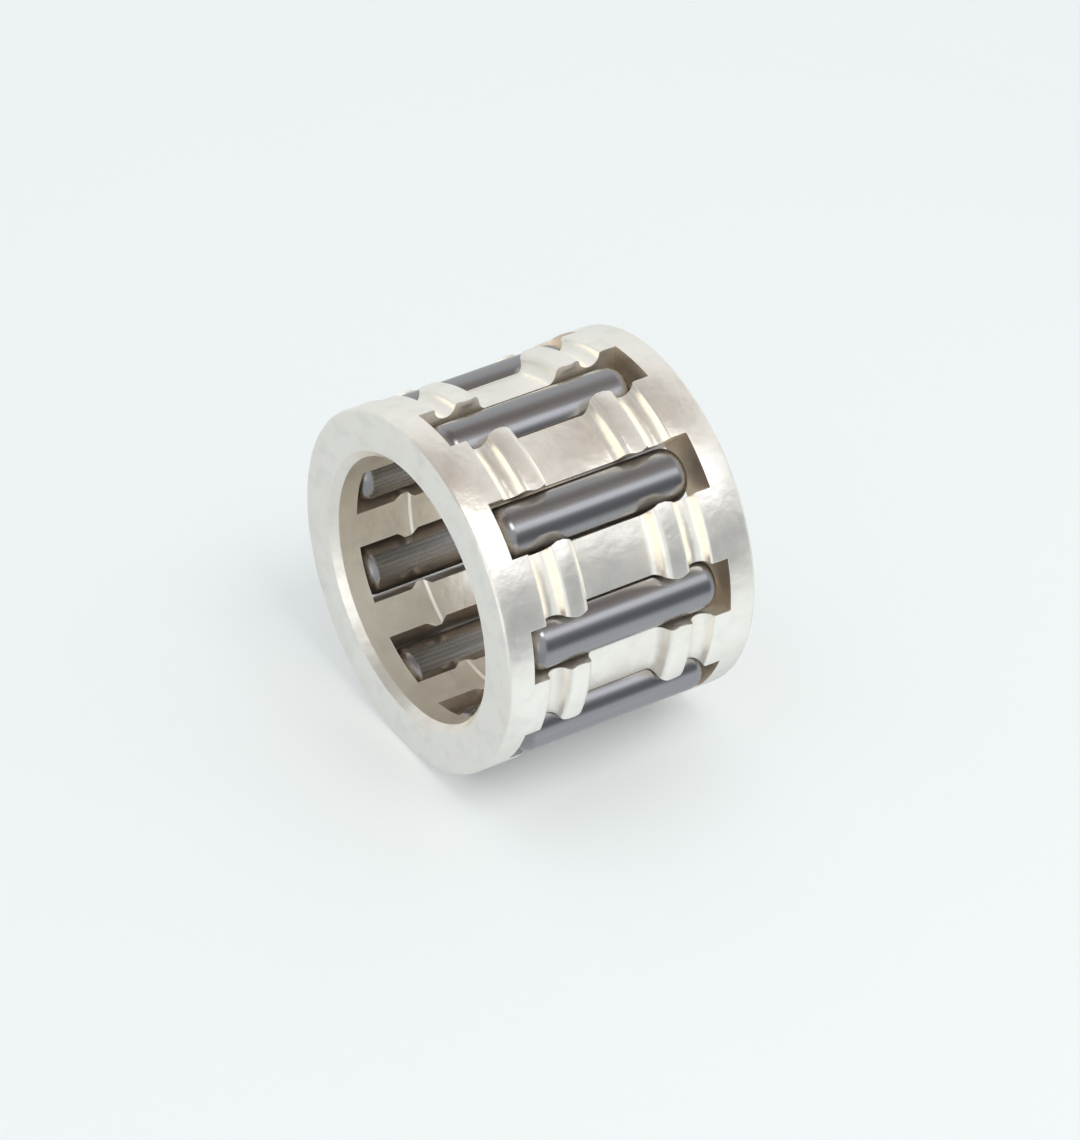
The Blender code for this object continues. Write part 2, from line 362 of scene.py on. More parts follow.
def ring_of_bars(bar, pocket):
    """Copies the one bar all the way round and merges the copies into one closed ring."""
    bpy.ops.object.mode_set(mode="OBJECT")
    copies = [bar]
    for _ in range(1, pocket.count):
        select_only(bar)
        bpy.ops.object.duplicate(linked=False)
        copies.append(bpy.context.object)
    for i, copy in enumerate(copies):
        copy.data.transform(Matrix.Rotation(pocket.first_angle + math.tau * i / pocket.count, 4, "Z"))
    select_only(*copies)
    bpy.ops.object.join()
    bpy.ops.object.mode_set(mode="EDIT")
    bpy.ops.mesh.select_all(action="SELECT")
    bpy.ops.mesh.remove_doubles(threshold=TOUCHING)
    bpy.ops.mesh.normals_make_consistent(inside=False)
    bpy.ops.object.mode_set(mode="OBJECT")
    return bpy.context.object


def smooth_step(value, low, high):
    """0 below low, 1 above high, and a smooth S between them."""
    t = min(max((value - low) / (high - low), 0.0), 1.0)
    return t * t * (3 - 2 * t)


def swell(height, start, end, ramp):
    """1 between two heights, falling smoothly to 0 over a ramp beyond each."""
    return smooth_step(height, start - ramp, start) * (1 - smooth_step(height, end, end + ramp))


def wall_share(pocket, depth, lip):
    """How wide a lipped pocket is, as a share of its straight width, this deep past the play."""
    if depth <= 0:
        return 1.0
    rise = min(depth / pocket.half_width, 1.0)
    return max(math.sqrt(1 - rise * rise), 1 - lip / pocket.half_width)


def pocket_share(cage, pocket, place):
    """Width of a pocket at one place of its wall, as a share of its straight width."""
    rib_start = cage.land_width + cage.groove_width
    rib_end = rib_start + cage.rib_width
    height = min(place.z, cage.length - place.z)
    outside = wall_share(pocket, place.x - pocket.pitch_radius - pocket.play, pocket.outer_lip)
    inside = wall_share(pocket, pocket.pitch_radius - pocket.play - place.x, pocket.inner_lip)
    shoulder = LIP_SHOULDER_SHARE * cage.rib_width
    outer_swell = swell(height, rib_start + shoulder, rib_end - shoulder, OUTER_RAMP_SHARE * pocket.lip_ramp)
    inner_end = rib_end - cage.bore_under_rib - INNER_LIP_GAP
    inner_swell = swell(height, inner_end - pocket.inner_lip_length, inner_end,
                        INNER_RAMP_SHARE * pocket.lip_ramp)
    return (1 - outer_swell * (1 - outside)) * (1 - inner_swell * (1 - inside))


def pocket_heights(cage, pocket):
    """Heights at which a pocket cutter is sliced, both ends."""
    rib_start = cage.land_width + cage.groove_width
    rib_end = rib_start + cage.rib_width
    low = rib_start - pocket.lip_ramp
    high = rib_end + pocket.lip_ramp
    near = [low + (high - low) * i / SLICES_ACROSS_RIB for i in range(SLICES_ACROSS_RIB + 1)]
    return near + [cage.length - height for height in near]


def pocket_depths(cage, pocket):
    """Radii at which a pocket cutter is sliced: through the outer lip and through the inner one."""
    outer_start = pocket.pitch_radius + pocket.play
    inner_start = pocket.pitch_radius - pocket.play
    steps = range(SLICES_THROUGH_LIP + 1)
    outer = [outer_start + (cage.outer_radius - outer_start) * i / SLICES_THROUGH_LIP for i in steps]
    inner = [inner_start - (inner_start - cage.middle_bore_radius) * i / SLICES_THROUGH_LIP for i in steps]
    return outer + inner


def slice_mesh(places, normal):
    """Bisects the whole mesh at each place, across the normal."""
    for place in places:
        bpy.ops.mesh.select_all(action="SELECT")
        bpy.ops.mesh.bisect(plane_co=place, plane_no=normal)


def model_pocket_cutter(cage, pocket):
    """A block the size of one pocket, sliced, with its sides drawn in where the lips are."""
    inner = cage.middle_bore_radius - CUTTER_OVERSHOOT
    outer = cage.outer_radius + CUTTER_OVERSHOOT
    deselect_all()
    bpy.ops.mesh.primitive_cube_add(size=1, location=(0, 0, 0))
    cutter = bpy.context.object
    bpy.ops.object.mode_set(mode="EDIT")
    bpy.ops.transform.resize(value=(outer - inner, 2 * pocket.half_width, cage.length - 2 * cage.ring_width))
    bpy.ops.transform.translate(value=((outer + inner) / 2, 0, cage.length / 2))
    heights = pocket_heights(cage, pocket)
    depths = pocket_depths(cage, pocket)
    slice_mesh([(0, 0, height) for height in heights], (0, 0, 1))
    slice_mesh([(depth, 0, 0) for depth in depths], (1, 0, 0))
    for height in heights:
        for depth in depths + [inner, outer]:
            place = Vector((depth, 0, height))
            width = pocket_share(cage, pocket, place)
            if width < 1:
                select_vertices(cutter, lambda co: (
                    abs(co.x - depth) < TOUCHING and abs(co.z - height) < TOUCHING))
                bpy.ops.transform.resize(value=(1, width, 1), center_override=place)
    bpy.ops.object.mode_set(mode="OBJECT")
    return cutter


def cut_pockets(blank, cage, pocket):
    """Cuts the pockets through the turned blank."""
    first = model_pocket_cutter(cage, pocket)
    cutters = [first]
    for i in range(1, pocket.count):
        select_only(first)
        bpy.ops.object.duplicate(linked=False)
        cutters.append(bpy.context.object)
    for i, cutter in enumerate(cutters):
        angle = pocket.first_angle + math.tau * i / pocket.count
        cutter.data.transform(Matrix.Rotation(angle, 4, "Z"))
    select_only(*cutters)
    bpy.ops.object.join()
    pockets = blank.modifiers.new("pockets", "BOOLEAN")
    pockets.operation = "DIFFERENCE"
    pockets.solver = "EXACT"
    pockets.object = cutters[0]
    apply_modifiers(blank)
    bpy.data.objects.remove(cutters[0], do_unlink=True)


class BEARING_OT_cage(bpy.types.Operator):
    """Model the silver-plated cage and set it in place of the CAD one"""
    bl_idname = "bearing.cage"
    bl_label = "Cage"

    def execute(self, context):
        cage = context.scene.bearing_cage
        pocket = context.scene.bearing_pocket
        bar = turn_bar(cage, pocket)
        shape_rib_ends(bar, cage, pocket)
        piece = ring_of_bars(bar, pocket)
        cut_pockets(piece, cage, pocket)
        select_only(piece)
        bpy.ops.object.shade_smooth_by_angle(angle=CAGE_SMOOTH_ANGLE)
        finish_piece(piece, "silvered_cage", silver_plate(cage), "cage", "cage")
        return {"FINISHED"}


def model_needle(needle):
    """One needle at the world's middle: a cylinder with domed ends and rounded edges."""
    deselect_all()
    bpy.ops.mesh.primitive_cylinder_add(vertices=NEEDLE_SIDES, radius=needle.radius,
                                        depth=needle.length - 2 * needle.crown, location=(0, 0, 0))
    piece = bpy.context.object
    bpy.ops.object.mode_set(mode="EDIT")
    bpy.ops.mesh.select_mode(type="FACE")
    bpy.ops.mesh.select_all(action="DESELECT")
    bpy.ops.object.mode_set(mode="OBJECT")
    for face in piece.data.polygons:
        face.select = abs(face.normal.z) > 0.9
    bpy.ops.object.mode_set(mode="EDIT")
    for width_share, crown_share in END_INSETS:
        bpy.ops.mesh.inset(thickness=width_share * needle.radius, depth=crown_share * needle.crown)
    bpy.ops.mesh.select_mode(type="EDGE")
    bpy.ops.mesh.select_all(action="DESELECT")
    bpy.ops.object.mode_set(mode="OBJECT")
    places = [vertex.co for vertex in piece.data.vertices]
    for edge in piece.data.edges:
        ends = [places[i] for i in edge.vertices]
        level = abs(ends[0].z - ends[1].z) < TOUCHING
        edge.select = level and all(math.hypot(end.x, end.y) > 0.99 * needle.radius for end in ends)
    bpy.ops.object.mode_set(mode="EDIT")
    bpy.ops.mesh.bevel(offset=needle.edge_radius, segments=NEEDLE_EDGE_SEGMENTS, profile=0.5,
                       affect="EDGES")
    bpy.ops.object.mode_set(mode="OBJECT")
    bpy.ops.object.shade_smooth_by_angle(angle=NEEDLE_SMOOTH_ANGLE)
    return piece


class BEARING_OT_needles(bpy.types.Operator):
    """Model one needle roller and copy it to every place that the CAD gives"""
    bl_idname = "bearing.needles"
    bl_label = "Needle rollers"

    def execute(self, context):
        needle = context.scene.bearing_needle
        pocket = context.scene.bearing_pocket
        steel = ground_steel(needle)
        pattern = model_needle(needle)
        for i in range(pocket.count):
            node = f"needle_{i + 1:02d}"
            low, high = (Vector(corner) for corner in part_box(node))
            select_only(pattern)
            bpy.ops.object.duplicate(linked=False)
            piece = bpy.context.object
            piece.location = (low + high) / 2
            piece.rotation_euler.z = NEEDLE_TURN * i
            bpy.ops.object.transform_apply(location=True, rotation=True, scale=True)
            finish_piece(piece, f"needle_roller_{i + 1:02d}", steel, node, node)
        bpy.data.objects.remove(pattern, do_unlink=True)
        return {"FINISHED"}


def new_material(name):
    """A node material: returns it, its node tree and its Principled shader."""
    material = bpy.data.materials.new(name)
    material.use_nodes = True
    return material, material.node_tree, material.node_tree.nodes["Principled BSDF"]


def add_node(tree, kind, place, **values):
    """A node at a place in its tree, with its settings and its unlinked sockets set."""
    node = tree.nodes.new(kind)
    node.location = place
    for key, value in values.items():
        if key in node.bl_rna.properties:
            setattr(node, key, value)
        else:
            node.inputs[key.replace("_", " ")].default_value = value
    return node


def mottle_group():
    """Soft blotches and a fine grain, as one value each, from a vector in metres."""
    group = bpy.data.node_groups.get("Mottle")
    if group:
        return group
    group = bpy.data.node_groups.new("Mottle", "ShaderNodeTree")
    sockets = group.interface
    sockets.new_socket("Vector", in_out="INPUT", socket_type="NodeSocketVector")
    sockets.new_socket("Blotch Scale", in_out="INPUT", socket_type="NodeSocketFloat")
    sockets.new_socket("Grain Scale", in_out="INPUT", socket_type="NodeSocketFloat")
    sockets.new_socket("Blotch", in_out="OUTPUT", socket_type="NodeSocketFloat")
    sockets.new_socket("Grain", in_out="OUTPUT", socket_type="NodeSocketFloat")
    start = group.nodes.new("NodeGroupInput")
    end = group.nodes.new("NodeGroupOutput")
    end.location = (600, 0)
    blotch = add_node(group, "ShaderNodeTexNoise", (200, 150), Detail=3.0, Roughness=0.5)
    grain = add_node(group, "ShaderNodeTexNoise", (200, -150), Detail=2.0, Roughness=0.6)
    group.links.new(start.outputs["Vector"], blotch.inputs["Vector"])
    group.links.new(start.outputs["Vector"], grain.inputs["Vector"])
    group.links.new(start.outputs["Blotch Scale"], blotch.inputs["Scale"])
    group.links.new(start.outputs["Grain Scale"], grain.inputs["Scale"])
    group.links.new(blotch.outputs["Fac"], end.inputs["Blotch"])
    group.links.new(grain.outputs["Fac"], end.inputs["Grain"])
    return group


def ramp(tree, source, place, low, high):
    """Stretches a value so that low becomes 0 and high becomes 1."""
    node = add_node(tree, "ShaderNodeMapRange", place, interpolation_type="SMOOTHSTEP")
    node.inputs["From Min"].default_value = low
    node.inputs["From Max"].default_value = high
    tree.links.new(source, node.inputs["Value"])
    return node.outputs["Result"]


def blend(tree, factor, first, second, place):
    """Mixes two colours, each a colour or a socket, by a value."""
    node = add_node(tree, "ShaderNodeMix", place, data_type="RGBA")
    for socket, value in ((node.inputs[6], first), (node.inputs[7], second)):
        if isinstance(value, bpy.types.NodeSocket):
            tree.links.new(value, socket)
        else:
            socket.default_value = (*value, 1.0)
    tree.links.new(factor, node.inputs[0])
    return node.outputs[2]


def math_node(tree, operation, first, second, place):
    """One sum on two values, each a number or a socket."""
    node = add_node(tree, "ShaderNodeMath", place, operation=operation)
    for socket, value in zip(node.inputs, (first, second)):
        if isinstance(value, bpy.types.NodeSocket):
            tree.links.new(value, socket)
        else:
            socket.default_value = value
    return node.outputs[0]


# A wall faces sideways where its normal leans less than this outward or along the axis.
FACING_MOST = 0.75
FACING_LEAST = 0.55

# A pocket's end wall lies this close to the ring's inner side, with its normal this much along the axis.
END_WALL_REACH = 0.05 * MM
END_WALL_LEAN = 0.9

# Depths below the outside at which the painted shade on the pocket walls starts and is full.
POCKET_SHADE_START = 0.3 * MM
POCKET_SHADE_FULL = 1.2 * MM


def pocket_shade_mask(tree, cage, where):
    """Where the shade in the pockets is painted: 1 on faces that look sideways deep below the outside, and
    on faces at a pocket's ends.
    """
    face = add_node(tree, "ShaderNodeNewGeometry", (-2200, -700))
    flat = add_node(tree, "ShaderNodeVectorMath", (-2200, -500), operation="MULTIPLY")
    tree.links.new(where.outputs["Object"], flat.inputs[0])
    flat.inputs[1].default_value = (1, 1, 0)
    outward = add_node(tree, "ShaderNodeVectorMath", (-2000, -500), operation="NORMALIZE")
    tree.links.new(flat.outputs[0], outward.inputs[0])
    facing = add_node(tree, "ShaderNodeVectorMath", (-1800, -500), operation="DOT_PRODUCT")
    tree.links.new(outward.outputs[0], facing.inputs[0])
    tree.links.new(face.outputs["True Normal"], facing.inputs[1])
    across = math_node(tree, "ABSOLUTE", facing.outputs["Value"], 0.0, (-1600, -500))
    lean = add_node(tree, "ShaderNodeSeparateXYZ", (-2000, -700))
    tree.links.new(face.outputs["True Normal"], lean.inputs[0])
    along = math_node(tree, "ABSOLUTE", lean.outputs["Z"], 0.0, (-1800, -700))
    sideways = ramp(tree, math_node(tree, "MAXIMUM", across, along, (-1400, -600)), (-1200, -600),
                    FACING_MOST, FACING_LEAST)
    place = add_node(tree, "ShaderNodeSeparateXYZ", (-2000, -900))
    tree.links.new(where.outputs["Object"], place.inputs[0])
    from_middle = math_node(tree, "SUBTRACT", place.outputs["Z"], cage.length / 2, (-1800, -900))
    distance = math_node(tree, "ABSOLUTE", from_middle, 0.0, (-1600, -900))
    off_end = math_node(tree, "SUBTRACT", distance, cage.length / 2 - cage.ring_width, (-1400, -900))
    at_end = math_node(tree, "LESS_THAN", math_node(tree, "ABSOLUTE", off_end, 0.0, (-1200, -900)),
                       END_WALL_REACH, (-1000, -900))
    level = math_node(tree, "GREATER_THAN", along, END_WALL_LEAN, (-1400, -750))
    # The painted shade grows with depth below the outside.
    radius = add_node(tree, "ShaderNodeVectorMath", (-2000, -300), operation="LENGTH")
    tree.links.new(flat.outputs[0], radius.inputs[0])
    deep = ramp(tree, radius.outputs["Value"], (-1800, -300), cage.outer_radius - POCKET_SHADE_START,
                cage.outer_radius - POCKET_SHADE_FULL)
    return math_node(tree, "MAXIMUM", math_node(tree, "MULTIPLY", sideways, deep, (-1000, -600)),
                     math_node(tree, "MULTIPLY", at_end, level, (-1000, -750)), (-900, -600))


# The plating's blotches, spots and grains per metre, and the values of them between which they show.
PLATE_BLOTCHES = 620.0
PLATE_SPOTS = 1100.0
PLATE_GRAINS = 9000.0
HAZE_RANGE = (0.42, 0.70)
SPOT_RANGE = (0.47, 0.70)

# The plating's spread of roughness, and the height of its waves with the shares of blotches and grains.
PLATE_SHEEN_SPREAD = 0.20
PLATE_WAVE = 0.03 * MM
PLATE_BLOTCH_HEIGHT = 3.7
PLATE_GRAIN_HEIGHT = 0.22


def silver_plate(cage):
    """Satin silver plating: pale warm metal with cloudy haze, grey blotches, painted shade on the pocket
    walls, faint waves, softened edges.
    """
    material, tree, shader = new_material("silver plate")
    where = add_node(tree, "ShaderNodeTexCoord", (-1600, 0))
    mottle = add_node(tree, "ShaderNodeGroup", (-1300, 200), node_tree=mottle_group())
    mottle.inputs["Blotch Scale"].default_value = PLATE_BLOTCHES
    mottle.inputs["Grain Scale"].default_value = PLATE_GRAINS
    tree.links.new(where.outputs["Object"], mottle.inputs["Vector"])
    haze = ramp(tree, mottle.outputs["Blotch"], (-1000, 400), *HAZE_RANGE)
    haze_part = math_node(tree, "MULTIPLY", haze, cage.haze, (-800, 400))
    hazed = blend(tree, haze_part, cage.silver, cage.tarnish, (-600, 400))
    spots = add_node(tree, "ShaderNodeTexNoise", (-1300, -100), Scale=PLATE_SPOTS, Detail=3.0, Roughness=0.5)
    tree.links.new(where.outputs["Object"], spots.inputs["Vector"])
    spot = ramp(tree, spots.outputs["Fac"], (-1000, -100), *SPOT_RANGE)
    spot_part = math_node(tree, "MULTIPLY", spot, cage.spots, (-800, -100))
    plating = blend(tree, spot_part, hazed, cage.stain, (-400, 300))
    # Painted shade: the walls deep in the pockets are blended towards the darker, browner pocket wall
    # colour.
    pocket_shade_part = math_node(tree, "MULTIPLY", pocket_shade_mask(tree, cage, where), cage.pocket_shade_share, (-800, -500))
    tree.links.new(blend(tree, pocket_shade_part, plating, cage.wall, (-200, 300)), shader.inputs["Base Color"])
    rough = math_node(tree, "MULTIPLY_ADD", mottle.outputs["Blotch"], PLATE_SHEEN_SPREAD, (-600, 0))
    rough.node.inputs[2].default_value = cage.roughness - PLATE_SHEEN_SPREAD / 2
    tree.links.new(rough, shader.inputs["Roughness"])
    shader.inputs["Metallic"].default_value = cage.metallic
    soft = add_node(tree, "ShaderNodeBevel", (-600, -300), samples=6, Radius=cage.edge_round)
    bump = add_node(tree, "ShaderNodeBump", (-300, -300), Strength=cage.unevenness, Distance=PLATE_WAVE)
    uneven = math_node(tree, "MULTIPLY_ADD", mottle.outputs["Grain"], PLATE_GRAIN_HEIGHT, (-500, -500))
    tree.links.new(math_node(tree, "MULTIPLY", mottle.outputs["Blotch"], PLATE_BLOTCH_HEIGHT, (-700, -500)),
                   uneven.node.inputs[2])
    tree.links.new(uneven, bump.inputs["Height"])
    tree.links.new(soft.outputs["Normal"], bump.inputs["Normal"])
    tree.links.new(bump.outputs["Normal"], shader.inputs["Normal"])
    return material


# The needles' blotches and streaks per metre, their scale along the needle, and where streaks show.
STEEL_BLOTCHES = 1400.0
STEEL_STREAKS = 7000.0
STREAK_STRETCH = 0.04
STREAK_RANGE = (0.42, 0.72)

# The steel's spread of roughness, and the streaks' relief with its depth.
STEEL_SHEEN_SPREAD = 0.10
STREAK_RELIEF = 0.011
STREAK_DEPTH = 0.01 * MM


def ground_steel(needle):
    """Hardened steel, ground bright: dark grey with faint streaks along the needle."""
    material, tree, shader = new_material("ground steel")
    where = add_node(tree, "ShaderNodeTexCoord", (-1600, 0))
    stretch = add_node(tree, "ShaderNodeMapping", (-1400, 0), Scale=(1.0, 1.0, STREAK_STRETCH))
    tree.links.new(where.outputs["Object"], stretch.inputs["Vector"])
    mottle = add_node(tree, "ShaderNodeGroup", (-1200, 100), node_tree=mottle_group())
    mottle.inputs["Blotch Scale"].default_value = STEEL_BLOTCHES
    mottle.inputs["Grain Scale"].default_value = STEEL_STREAKS
    tree.links.new(stretch.outputs["Vector"], mottle.inputs["Vector"])
    streak = ramp(tree, mottle.outputs["Grain"], (-900, 200), *STREAK_RANGE)
    streak_part = math_node(tree, "MULTIPLY", streak, needle.streaks, (-700, 200))
    tree.links.new(blend(tree, streak_part, needle.steel, needle.smoke, (-500, 200)),
                   shader.inputs["Base Color"])
    rough = math_node(tree, "MULTIPLY_ADD", mottle.outputs["Blotch"], STEEL_SHEEN_SPREAD, (-600, 0))
    rough.node.inputs[2].default_value = needle.roughness - STEEL_SHEEN_SPREAD / 2
    tree.links.new(rough, shader.inputs["Roughness"])
    shader.inputs["Metallic"].default_value = 1.0
    bump = add_node(tree, "ShaderNodeBump", (-300, -300), Strength=STREAK_RELIEF, Distance=STREAK_DEPTH)
    tree.links.new(mottle.outputs["Grain"], bump.inputs["Height"])
    tree.links.new(bump.outputs["Normal"], shader.inputs["Normal"])
    return material


# How bright the table is in mirrors before the near end, and how much brighter beyond it, with the heights
# between which that rises.
NEAR_GAIN = 0.85
FAR_GAIN_RISE = 0.31
NEAR_HEIGHT = -2 * MM
FAR_HEIGHT = 5 * MM

# How much the bearing shades the table beside the line of contact, and how far from it.
CONTACT_SHADE = 0.55
CONTACT_REACH = 13 * MM


def mirrored_strength(tree, where, ray, along_table):
    """How bright the table is in mirrors: brighter beyond the bearing's near end, but not close under it."""
    place = add_node(tree, "ShaderNodeSeparateXYZ", (-900, 900))
    tree.links.new(where.outputs["Object"], place.inputs[0])
    beyond = ramp(tree, place.outputs["Z"], (-700, 900), NEAR_HEIGHT, FAR_HEIGHT)
    gain = math_node(tree, "MULTIPLY_ADD", beyond, FAR_GAIN_RISE, (-500, 900))
    gain.node.inputs[2].default_value = NEAR_GAIN
    off_contact = add_node(tree, "ShaderNodeVectorMath", (-900, 1100), operation="DOT_PRODUCT")
    tree.links.new(where.outputs["Object"], off_contact.inputs[0])
    off_contact.inputs[1].default_value = along_table
    distance = math_node(tree, "ABSOLUTE", off_contact.outputs["Value"], 0.0, (-700, 1100))
    near = ramp(tree, distance, (-500, 1100), CONTACT_REACH, 0.0)
    covered = math_node(tree, "MULTIPLY", near, beyond, (-400, 1100))
    shaded = math_node(tree, "MULTIPLY_ADD", covered, -CONTACT_SHADE, (-300, 1100))
    shaded.node.inputs[2].default_value = 1.0
    change = math_node(tree, "MULTIPLY_ADD", gain, shaded, (-200, 950))
    change.node.inputs[2].default_value = -1.0
    strength = math_node(tree, "MULTIPLY_ADD", change, ray.outputs["Is Glossy Ray"], (-200, 800))
    strength.node.inputs[2].default_value = 1.0
    return strength


# Radii at which a sheet starts to fade and has faded out, as the camera sees it and as mirrors do.
FADE = (40 * MM, 80 * MM)
MIRRORED_FADE = (24 * MM, 60 * MM)

# A sheet's own radius, its gap to the bearing, and its finish.
SHEET_RADIUS = 90 * MM
SHEET_GAP = 0.02 * MM
SHEET_ROUGHNESS = 0.55
SHEET_SPECULAR = 0.25


def one_sided_surface(name, tint, evenness, along_table):
    """A pale matt surface, clear from behind, that fades out away from the bearing, sooner in mirrors.

    The evenness is the share of its brightness that shadows leave alone.
    """
    material, tree, shader = new_material(name)
    shader.inputs["Base Color"].default_value = (*tint, 1.0)
    shader.inputs["Roughness"].default_value = SHEET_ROUGHNESS
    shader.inputs["Specular IOR Level"].default_value = SHEET_SPECULAR
    where = add_node(tree, "ShaderNodeTexCoord", (-900, 300))
    away = add_node(tree, "ShaderNodeVectorMath", (-700, 300), operation="LENGTH")
    tree.links.new(where.outputs["Object"], away.inputs[0])
    fade = ramp(tree, away.outputs["Value"], (-500, 300), *FADE)
    near_fade = ramp(tree, away.outputs["Value"], (-500, 500), *MIRRORED_FADE)
    ray = add_node(tree, "ShaderNodeLightPath", (-700, 700))
    mirrored_fade = math_node(tree, "MULTIPLY", near_fade, ray.outputs["Is Glossy Ray"], (-400, 500))
    any_fade = math_node(tree, "MAXIMUM", fade, mirrored_fade, (-350, 350))
    side = add_node(tree, "ShaderNodeNewGeometry", (-700, 0))
    clear = math_node(tree, "MAXIMUM", any_fade, side.outputs["Backfacing"], (-300, 200))
    lift = math_node(tree, "MULTIPLY_ADD", ray.outputs["Is Camera Ray"], evenness, (-100, 600))
    tree.links.new(ray.outputs["Is Glossy Ray"], lift.node.inputs[2])
    even = add_node(tree, "ShaderNodeEmission", (0, 400), Color=(*tint, 1.0))
    tree.links.new(mirrored_strength(tree, where, ray, along_table), even.inputs["Strength"])
    lifted = add_node(tree, "ShaderNodeMixShader", (200, 400))
    tree.links.new(lift, lifted.inputs[0])
    tree.links.new(shader.outputs[0], lifted.inputs[1])
    tree.links.new(even.outputs[0], lifted.inputs[2])
    glass = add_node(tree, "ShaderNodeBsdfTransparent", (0, -200))
    mix = add_node(tree, "ShaderNodeMixShader", (400, 200))
    tree.links.new(clear, mix.inputs[0])
    tree.links.new(lifted.outputs[0], mix.inputs[1])
    tree.links.new(glass.outputs[0], mix.inputs[2])
    tree.links.new(mix.outputs[0], tree.nodes["Material Output"].inputs["Surface"])
    return material


def add_surface(name, material, turn, place):
    """A round sheet of floor or table with its place and turn in its mesh."""
    deselect_all()
    bpy.ops.mesh.primitive_circle_add(vertices=64, radius=SHEET_RADIUS, fill_type="NGON", location=(0, 0, 0))
    sheet = bpy.context.object
    sheet.name = name
    sheet.data.transform(Matrix.Translation(place) @ turn.to_4x4())
    sheet.data.materials.append(material)
    return sheet


def add_softbox(name, direction, aim, distance, side, brightness, tint):
    """A square lamp that looks at the bearing, its brightness given as seen in a mirror."""
    data = bpy.data.lights.new(name, "AREA")
    data.shape = "RECTANGLE"
    data.size = side
    data.size_y = side
    data.energy = brightness * math.pi * side * side
    data.color = tint
    lamp = bpy.data.objects.new(name, data)
    lamp.location = aim + direction.normalized() * distance
    lamp.rotation_euler = direction.to_track_quat("Z", "Y").to_euler()
    bpy.context.collection.objects.link(lamp)
    return lamp


def soft_patch(tree, where, direction, full, edge, place):
    """1 within so many degrees of a direction, falling to 0 at the edge."""
    near = add_node(tree, "ShaderNodeVectorMath", place, operation="DOT_PRODUCT")
    tree.links.new(where.outputs["Generated"], near.inputs[0])
    near.inputs[1].default_value = direction.normalized()
    return ramp(tree, near.outputs["Value"], (place[0] + 200, place[1]), math.cos(math.radians(edge)),
                math.cos(math.radians(full)))


# Patches of the room that the metal mirrors: direction, degrees of the full and of the faded part, colour.
PATCHES = (
    ("dark corner", Vector((0.733, 0.513, 0.445)), 9, 32, (0.235, 0.245, 0.265)),
    ("window", Vector((0.887, -0.118, 0.445)), 6, 15.5, (1.85, 1.90, 1.98)),
    ("gloom before the bore", Vector((0.05, -0.62, -0.78)), 12, 28, (0.34, 0.33, 0.32)),
    ("glow before the bore", Vector((0.42, 0.20, -0.885)), 9, 22, (1.60, 1.62, 1.60)),
)

# The room from under the table to overhead, as its mirror image in the metal.
SKY = (
    (0.00, (0.76, 0.80, 0.78)),
    (0.50, (0.78, 0.82, 0.81)),
    (0.74, (0.92, 0.93, 0.93)),
    (0.86, (0.84, 0.83, 0.81)),
    (0.92, (0.48, 0.43, 0.39)),
    (1.00, (0.30, 0.25, 0.21)),
)

# The room's light on matt surfaces, and in the metal after a second and after more reflections.
ROOM_LIGHT = (0.83, 0.83, 0.83)
SECOND_MIRROR = (1.52, 1.46, 1.31)
DEEP_MIRROR = (2.45, 2.25, 1.80)

# Ray depths above which a ray has left the metal a second time and a third.
SECOND_DEPTH = 2.5
DEEP_DEPTH = 3.5


def light_world(stage, table_up):
    """Pale all round for the camera; soft warm and dark fields for what the metal mirrors."""
    world = bpy.data.worlds.new("studio")
    bpy.context.scene.world = world
    world.use_nodes = True
    tree = world.node_tree
    tree.nodes.clear()
    where = add_node(tree, "ShaderNodeTexCoord", (-1400, 0))
    tilt = add_node(tree, "ShaderNodeVectorMath", (-1200, 0), operation="DOT_PRODUCT")
    tree.links.new(where.outputs["Generated"], tilt.inputs[0])
    tilt.inputs[1].default_value = table_up
    sky = add_node(tree, "ShaderNodeValToRGB", (-1000, 0))
    while len(sky.color_ramp.elements) < len(SKY):
        sky.color_ramp.elements.new(0.5)
    for element, (position, tint) in zip(sky.color_ramp.elements, SKY):
        element.position = position
        element.color = (*tint, 1.0)
    half = add_node(tree, "ShaderNodeMath", (-1100, -200), operation="MULTIPLY_ADD")
    half.inputs[1].default_value = 0.5
    half.inputs[2].default_value = 0.5
    tree.links.new(tilt.outputs["Value"], half.inputs[0])
    tree.links.new(half.outputs[0], sky.inputs["Fac"])
    field = sky.outputs["Color"]
    for i, (name, direction, full, edge, tint) in enumerate(PATCHES):
        patch = soft_patch(tree, where, direction, full, edge, (-1200, -400 - 200 * i))
        patch.node.label = name
        field = blend(tree, patch, field, tint, (-750 + 100 * i, -200))
    ray = add_node(tree, "ShaderNodeLightPath", (-1000, 400))
    plain = blend(tree, ray.outputs["Is Camera Ray"], ROOM_LIGHT, stage.backdrop, (-600, 300))
    mirrored = math_node(tree, "MAXIMUM", ray.outputs["Is Glossy Ray"], ray.outputs["Is Transmission Ray"],
                         (-700, 100))
    light = add_node(tree, "ShaderNodeBackground", (200, 0), Strength=1.0)
    first = blend(tree, mirrored, plain, field, (-300, 100))
    second_bounce = math_node(tree, "GREATER_THAN", ray.outputs["Ray Depth"], SECOND_DEPTH, (-300, 400))
    third_bounce = math_node(tree, "GREATER_THAN", ray.outputs["Ray Depth"], DEEP_DEPTH, (-300, 600))
    second = blend(tree, second_bounce, first, SECOND_MIRROR, (-100, 100))
    tree.links.new(blend(tree, third_bounce, second, DEEP_MIRROR, (50, 100)), light.inputs["Color"])
    output = add_node(tree, "ShaderNodeOutputWorld", (300, 0))
    tree.links.new(light.outputs[0], output.inputs["Surface"])


